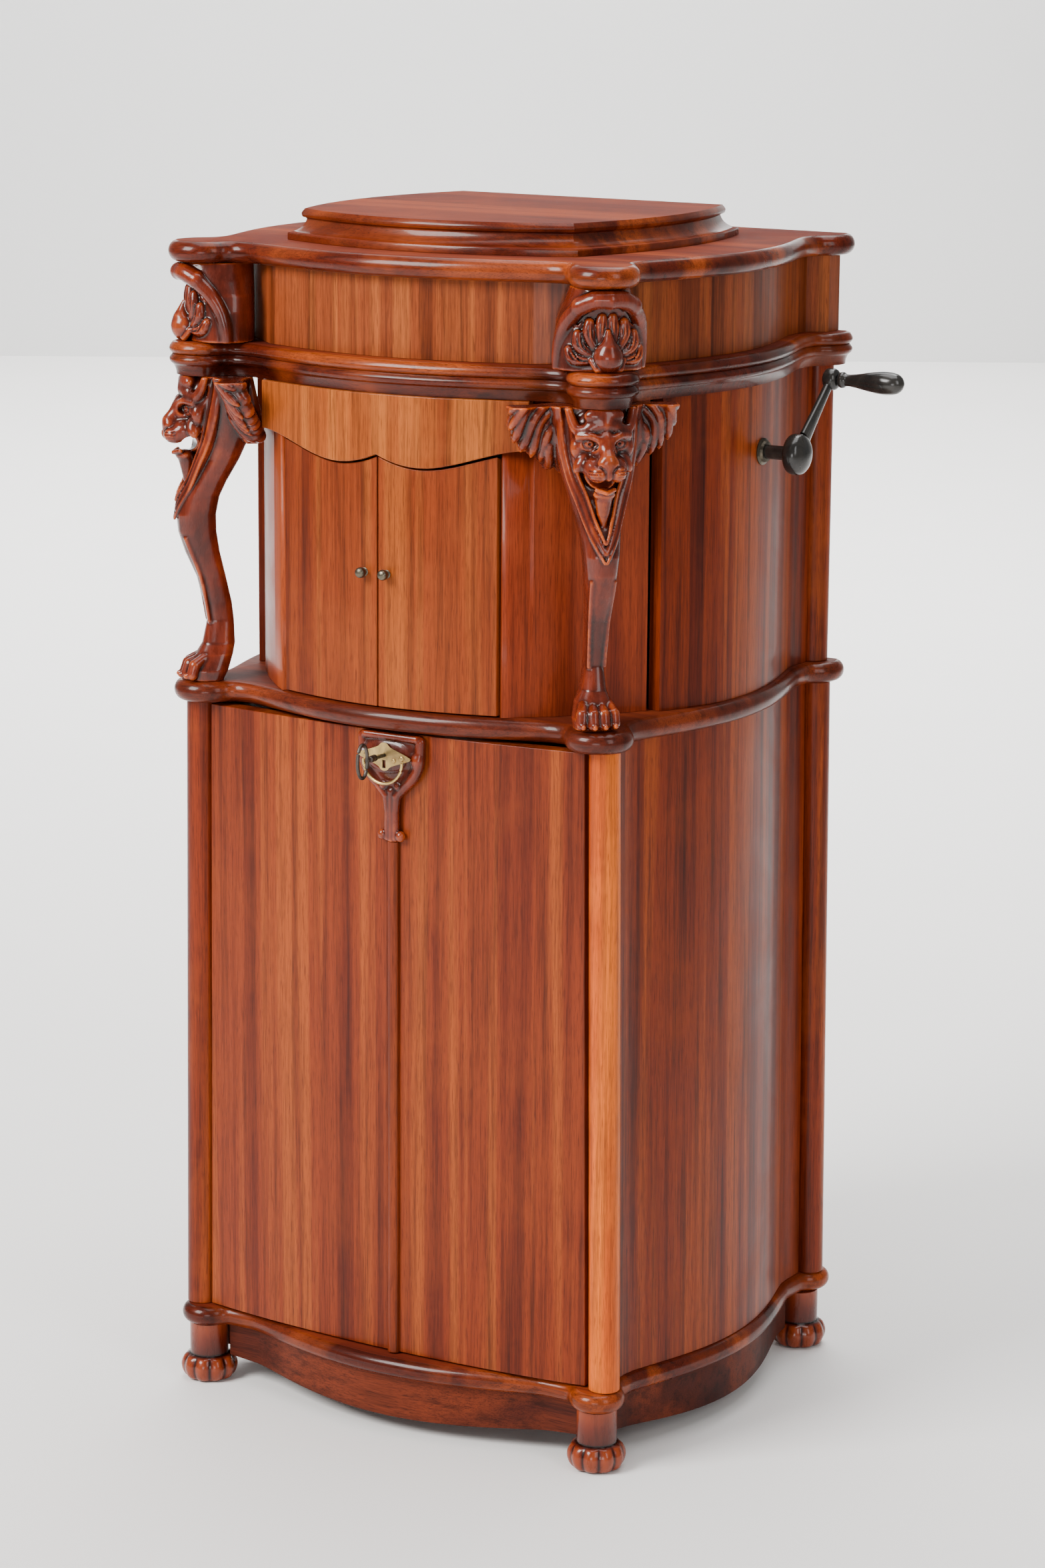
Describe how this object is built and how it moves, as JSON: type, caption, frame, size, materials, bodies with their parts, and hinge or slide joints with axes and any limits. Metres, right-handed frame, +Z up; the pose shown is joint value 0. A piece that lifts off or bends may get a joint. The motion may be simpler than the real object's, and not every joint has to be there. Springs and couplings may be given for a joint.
{
  "type": "cabinet gramophone",
  "caption": "Upright serpentine cabinet gramophone with lion legs, winding crank, hinged lid over a turntable, horn doors and record cupboard.",
  "frame": {"origin": "middle of the footprint of the whole object, crank included, at floor level", "axes": "+X to the cabinet's right side, where the crank is; +Y to the back; +Z up"},
  "size_m": [0.669, 0.5426, 1.2167],
  "materials": {
    "veneer_wood": "mahogany veneer, polished",
    "golden_wood": "lighter mahogany veneer, polished",
    "moulding_wood": "dark red stained moulding, glossy",
    "carved_wood": "dark red carved wood, glossy",
    "column_wood": "orange-brown turned wood, glossy",
    "plain_wood": "plain unpolished inside wood",
    "brass": "aged brass",
    "nickel": "nickel plate",
    "black_paint": "gloss black",
    "iron": "dark iron",
    "bronze": "dark bronze"
  },
  "bodies": {
    "cabinet": {"apron_front": "moulding_wood", "apron_left": "moulding_wood", "apron_right": "moulding_wood", "back_panel": "plain_wood", "base_board": "moulding_wood", "body_hinge_leaf": "brass", "body_top_moulding": "moulding_wood", "crank_bush": "brass", "foot_front_left": "carved_wood", "foot_front_right": "carved_wood", "foot_rear_left": "carved_wood", "foot_rear_right": "carved_wood", "lion_leg_left": "carved_wood", "lion_leg_right": "carved_wood", "lower_column_front_left": "column_wood", "lower_column_front_right": "column_wood", "lower_column_rear_left": "column_wood", "lower_column_rear_right": "column_wood", "lower_side_left": "veneer_wood", "lower_side_right": "veneer_wood", "middle_shelf": "moulding_wood", "motor_board": "veneer_wood", "motor_frame": "iron", "niche_panel_left": "veneer_wood", "niche_panel_right": "veneer_wood", "record_shelf": "plain_wood", "sound_horn": "plain_wood", "upper_column_rear_left": "column_wood", "upper_column_rear_right": "column_wood", "upper_side_left": "veneer_wood", "upper_side_right": "veneer_wood", "valance": "golden_wood"},
    "lid": {"lid_frieze": "veneer_wood", "lid_lower_moulding": "moulding_wood", "lid_top_board": "moulding_wood", "lid_plinth": "moulding_wood", "lid_bracket_left": "carved_wood", "lid_bracket_right": "carved_wood", "lid_hinge_leaf": "brass"},
    "crank": {"crank_shaft": "black_paint", "crank_arm": "black_paint"},
    "grip": {"crank_grip": "black_paint"},
    "winding": {"winding_gear": "brass"},
    "barrel": {"spring_barrel": "iron"},
    "turntable": {"turntable": "nickel"},
    "governor": {"governor": "brass"},
    "tonearm": {"tonearm": "nickel"},
    "soundbox": {"soundbox": "nickel"},
    "brake": {"brake_lever": "nickel"},
    "horn_door_left": {"horn_door_left": "golden_wood", "horn_knob_left": "bronze"},
    "horn_door_right": {"horn_door_right": "golden_wood", "horn_knob_right": "bronze"},
    "lower_door_left": {"lower_door_left": "veneer_wood"},
    "lower_door_right": {"lower_door_right": "veneer_wood", "centre_astragal": "veneer_wood", "lock_cartouche": "carved_wood", "lock_escutcheon": "brass"},
    "ring_pull": {"ring_pull": "brass"},
    "key": {"key": "iron"}
  },
  "joints": [
    {"name": "lid_hinge", "type": "hinge", "parent": "cabinet", "child": "lid", "pos_m": [-0.0515, 0.26715, 1.0745], "axis": [-1, 0, 0], "range_deg": [0, 70]},
    {"name": "crank_turn", "type": "hinge", "parent": "cabinet", "child": "crank", "pos_m": [-0.0515, 0.06365, 0.9862], "axis": [1, 0, 0], "continuous": true},
    {"name": "grip_turn", "type": "hinge", "parent": "crank", "child": "grip", "pos_m": [0.2545, 0.13212, 1.05349], "axis": [1, 0, 0], "continuous": true},
    {"name": "winding_turn", "type": "hinge", "parent": "cabinet", "child": "winding", "pos_m": [-0.0515, 0.00615, 0.9862], "axis": [1, 0, 0], "continuous": true},
    {"name": "turntable_turn", "type": "hinge", "parent": "cabinet", "child": "turntable", "pos_m": [-0.0715, 0.00615, 1.062], "axis": [0, 0, 1], "continuous": true},
    {"name": "barrel_turn", "type": "hinge", "parent": "cabinet", "child": "barrel", "pos_m": [-0.0515, 0.00615, 0.9862], "axis": [1, 0, 0], "continuous": true},
    {"name": "governor_turn", "type": "hinge", "parent": "cabinet", "child": "governor", "pos_m": [-0.058, 0.00615, 1], "axis": [0, 1, 0], "continuous": true},
    {"name": "tonearm_swing", "type": "hinge", "parent": "cabinet", "child": "tonearm", "pos_m": [0.0835, 0.17865, 1.0523], "axis": [0, 0, -1], "range_deg": [0, 38]},
    {"name": "soundbox_turn", "type": "hinge", "parent": "tonearm", "child": "soundbox", "pos_m": [0.11978, -0.00276, 1.1115], "axis": [0.1961, -0.9806, 0], "range_deg": [0, 60]},
    {"name": "brake_swing", "type": "hinge", "parent": "cabinet", "child": "brake", "pos_m": [-0.2365, -0.08935, 1.0523], "axis": [0, 0, 1], "range_deg": [0, 20]},
    {"name": "horn_door_left_hinge", "type": "hinge", "parent": "cabinet", "child": "horn_door_left", "pos_m": [-0.17554, -0.20183, 0.87466], "axis": [0, 0, -1], "range_deg": [0, 105]},
    {"name": "horn_door_right_hinge", "type": "hinge", "parent": "cabinet", "child": "horn_door_right", "pos_m": [0.07254, -0.20183, 0.87466], "axis": [0, 0, 1], "range_deg": [0, 105]},
    {"name": "lower_door_right_hinge", "type": "hinge", "parent": "cabinet", "child": "lower_door_right", "pos_m": [0.1722, -0.19585, 0.40365], "axis": [-0.0109, 0, 0.9999], "range_deg": [0, 100]},
    {"name": "lower_door_left_hinge", "type": "hinge", "parent": "cabinet", "child": "lower_door_left", "pos_m": [-0.2752, -0.19585, 0.40365], "axis": [-0.0109, 0, -0.9999], "range_deg": [0, 100]},
    {"name": "ring_pull_hinge", "type": "hinge", "parent": "lower_door_right", "child": "ring_pull", "pos_m": [-0.04225, -0.22595, 0.695], "axis": [-1, 0, 0], "range_deg": [0, 80]},
    {"name": "key_turn", "type": "hinge", "parent": "lower_door_right", "child": "key", "pos_m": [-0.04225, -0.22375, 0.7005], "axis": [0, 1, 0], "range_deg": [0, 90]}
  ],
  "couplings": [
    {"joint": "winding_turn", "follows": "crank_turn", "ratio": -0.27778},
    {"joint": "barrel_turn", "follows": "turntable_turn", "ratio": 0.33333},
    {"joint": "governor_turn", "follows": "turntable_turn", "ratio": 8},
    {"joint": "lower_door_left_hinge", "follows": "lower_door_right_hinge", "ratio": 1}
  ]
}
